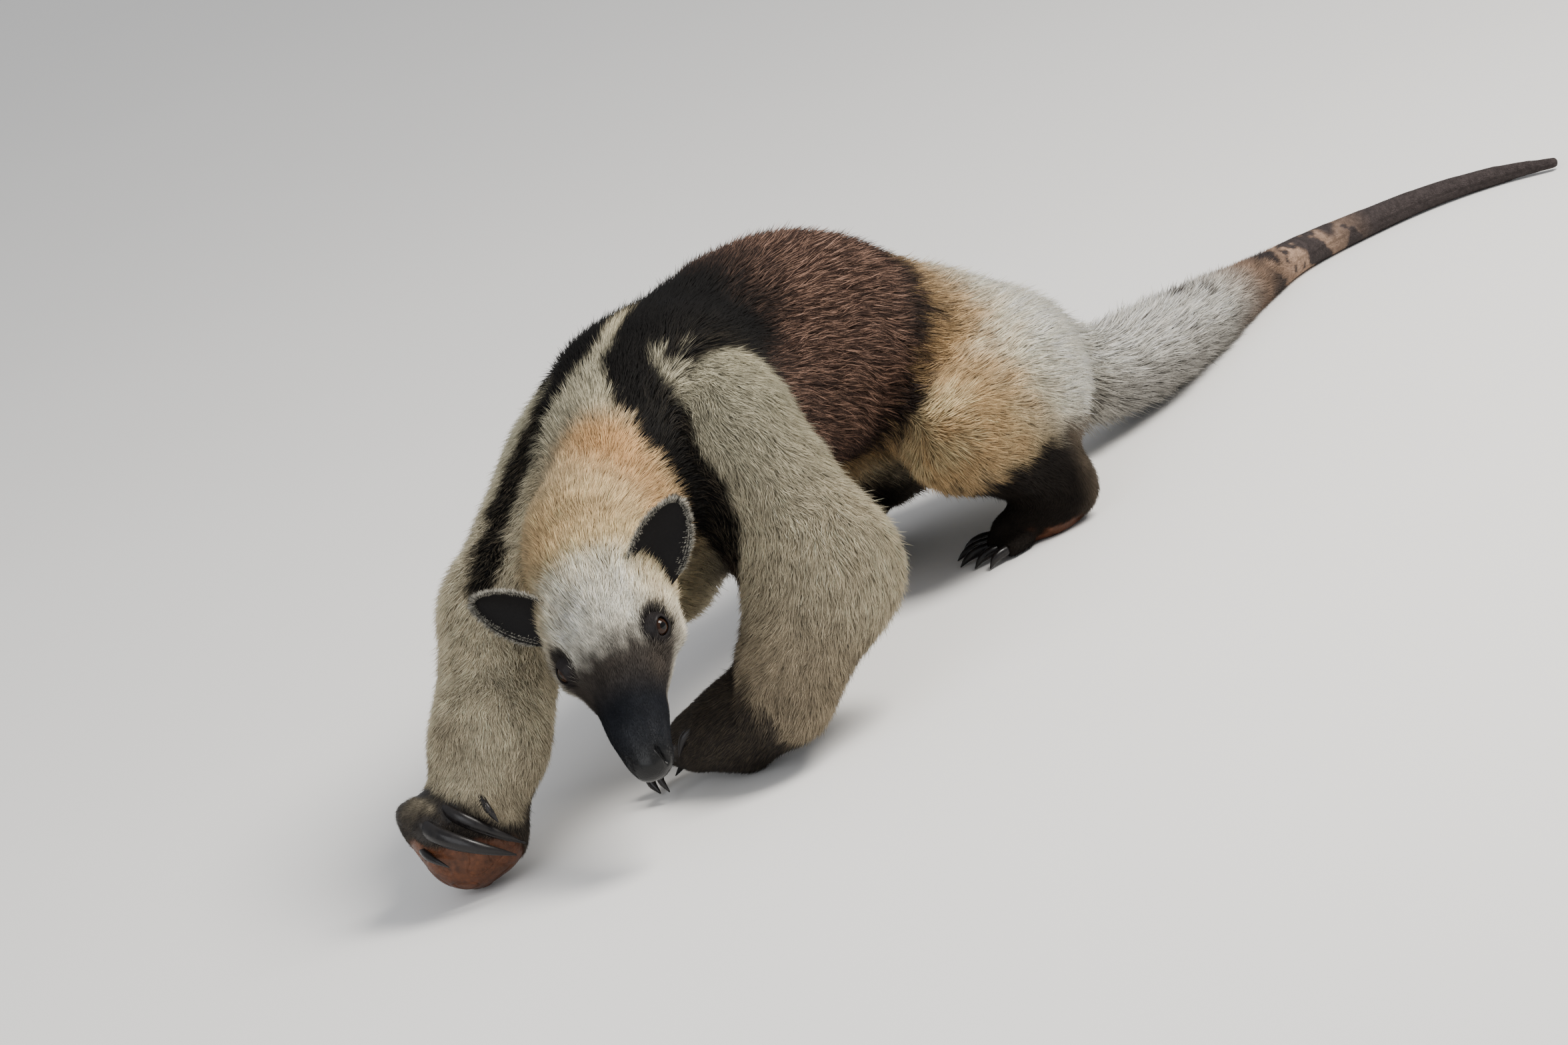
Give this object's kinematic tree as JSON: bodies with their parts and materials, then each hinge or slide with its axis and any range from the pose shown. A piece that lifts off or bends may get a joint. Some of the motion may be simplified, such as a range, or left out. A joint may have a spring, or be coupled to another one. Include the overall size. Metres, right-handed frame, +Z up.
{
  "type": "northern tamandua",
  "caption": "Small anteater standing with its head low, curved tapering snout, cupped ears, hooked digging claws and a long tail laid on the floor.",
  "frame": {"origin": "middle of the underside of the whole animal, on the floor that it stands on", "axes": "+Z up, -Y the way that the animal faces, +X its left side"},
  "size_m": [0.204, 0.8508, 0.1937],
  "materials": {
    "cream coat": "short bristly hair, pale cream to tan",
    "black coat": "short glossy bristles, black grizzled with brown",
    "grizzled coat": "short hair, grey-cream over dark roots",
    "dark coat": "very short dark hair, with bare brown pads",
    "ear skin": "thin dark skin with a pale fringe of hair",
    "tail skin": "nearly bare scaly skin, tan with dark blotches",
    "eye": "wet glossy dark brown",
    "claw": "polished black horn"
  },
  "bodies": {
    "root": {"claw_left_foot_fifth": "claw", "claw_left_foot_first": "claw", "claw_left_foot_fourth": "claw", "claw_left_foot_second": "claw", "claw_left_foot_third": "claw", "claw_left_hand_first": "claw", "claw_left_hand_fourth": "claw", "claw_left_hand_second": "claw", "claw_left_hand_third": "claw", "claw_right_foot_fifth": "claw", "claw_right_foot_first": "claw", "claw_right_foot_fourth": "claw", "claw_right_foot_second": "claw", "claw_right_foot_third": "claw", "claw_right_hand_first": "claw", "claw_right_hand_fourth": "claw", "claw_right_hand_second": "claw", "claw_right_hand_third": "claw", "ear_left": "ear skin", "ear_right": "ear skin", "eye_left": "eye", "eye_right": "eye", "foot_left": "dark coat", "foot_right": "dark coat", "forearm_left": "grizzled coat", "forearm_right": "grizzled coat", "hand_left": "dark coat", "hand_right": "dark coat", "head": "cream coat", "neck": "cream coat", "shank_left": "grizzled coat", "shank_right": "grizzled coat", "tail_base": "cream coat", "tail_middle": "tail skin", "tail_tip": "tail skin", "thigh_left": "cream coat", "thigh_right": "cream coat", "torso": "black coat", "upper_arm_left": "cream coat", "upper_arm_right": "cream coat"}
  },
  "joints": []
}
